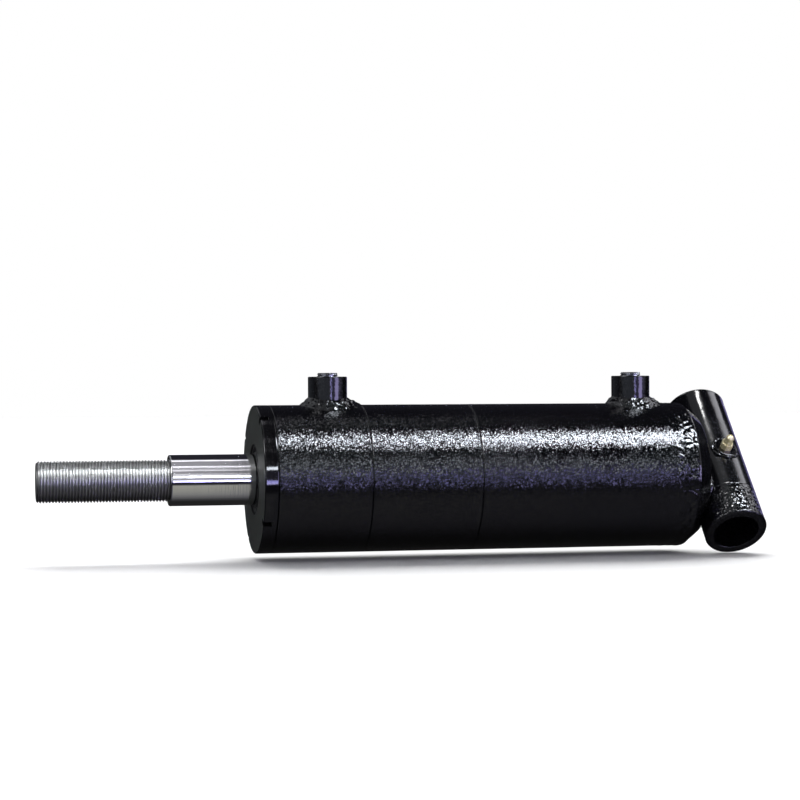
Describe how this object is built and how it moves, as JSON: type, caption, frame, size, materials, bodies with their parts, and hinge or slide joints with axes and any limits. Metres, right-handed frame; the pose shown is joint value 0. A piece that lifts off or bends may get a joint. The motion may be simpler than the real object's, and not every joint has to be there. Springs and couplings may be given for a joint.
{
  "type": "hydraulic cylinder",
  "caption": "Welded double-acting hydraulic cylinder: painted barrel with a cross tube at its base, two plugged top ports, and a chromed rod with a threaded end.",
  "frame": {"origin": "middle of the rod's threaded end face, on the cylinder's axis, with the rod fully retracted", "axes": "-X along the cylinder out of the rod's threaded end, +X towards the base, +Z out of the ports; the pin axis crosses the X axis at x = 0.4817 m, in a plane of constant X, at 45 degrees, falling towards -Y"},
  "size_m": [0.5039, 0.1153, 0.1276],
  "materials": {
    "barrel_paint": "gloss black enamel over textured steel, orange peel",
    "gland_paint": "satin grey-green face, black gloss on the rim",
    "port_plug": "black oversprayed steel",
    "hard_chrome": "ground and polished, faint turning marks",
    "machined_steel": "machined",
    "ductile_iron": "machined",
    "yellow_zinc": "yellow passivated zinc",
    "black_rubber": "matt",
    "urethane": "satin",
    "filled_nylon": "matt"
  },
  "bodies": {
    "barrel": {"barrel_tube": "barrel_paint", "base_cap": "barrel_paint", "barrel_weld": "barrel_paint", "pin_tube": "barrel_paint", "pin_tube_weld_upper": "barrel_paint", "pin_tube_weld_lower": "barrel_paint", "rod_port_boss": "barrel_paint", "rod_port_weld": "barrel_paint", "rod_port_plug": "port_plug", "base_port_boss": "barrel_paint", "base_port_weld": "barrel_paint", "base_port_plug": "port_plug", "gland": "gland_paint", "rod_wiper": "black_rubber", "rod_seal": "urethane", "gland_o_ring": "black_rubber", "gland_backup_ring": "filled_nylon", "rod_guide_ring": "filled_nylon", "grease_fitting": "yellow_zinc", "grease_spring": "machined_steel"},
    "piston_rings": {"piston_guide_front": "filled_nylon", "piston_guide_rear": "filled_nylon", "piston_seal": "urethane"},
    "rod": {"rod": "hard_chrome", "piston": "ductile_iron", "piston_nut": "machined_steel", "piston_o_ring": "black_rubber"},
    "grease_ball": {"grease_ball": "machined_steel"}
  },
  "joints": [
    {"name": "rod_stroke", "type": "slide", "parent": "barrel", "child": "piston_rings", "axis": [-1, 0, 0], "range_m": [0, 0.1524]},
    {"name": "rod_turn", "type": "hinge", "parent": "piston_rings", "child": "rod", "pos_m": [0.3627, 0, 0], "axis": [1, 0, 0], "continuous": true},
    {"name": "grease_ball_press", "type": "slide", "parent": "barrel", "child": "grease_ball", "axis": [-0.1045, 0.7032, -0.7032], "range_m": [0, 0.0008], "stiffness_N_per_m": 2, "springref_m": -0.0005}
  ]
}
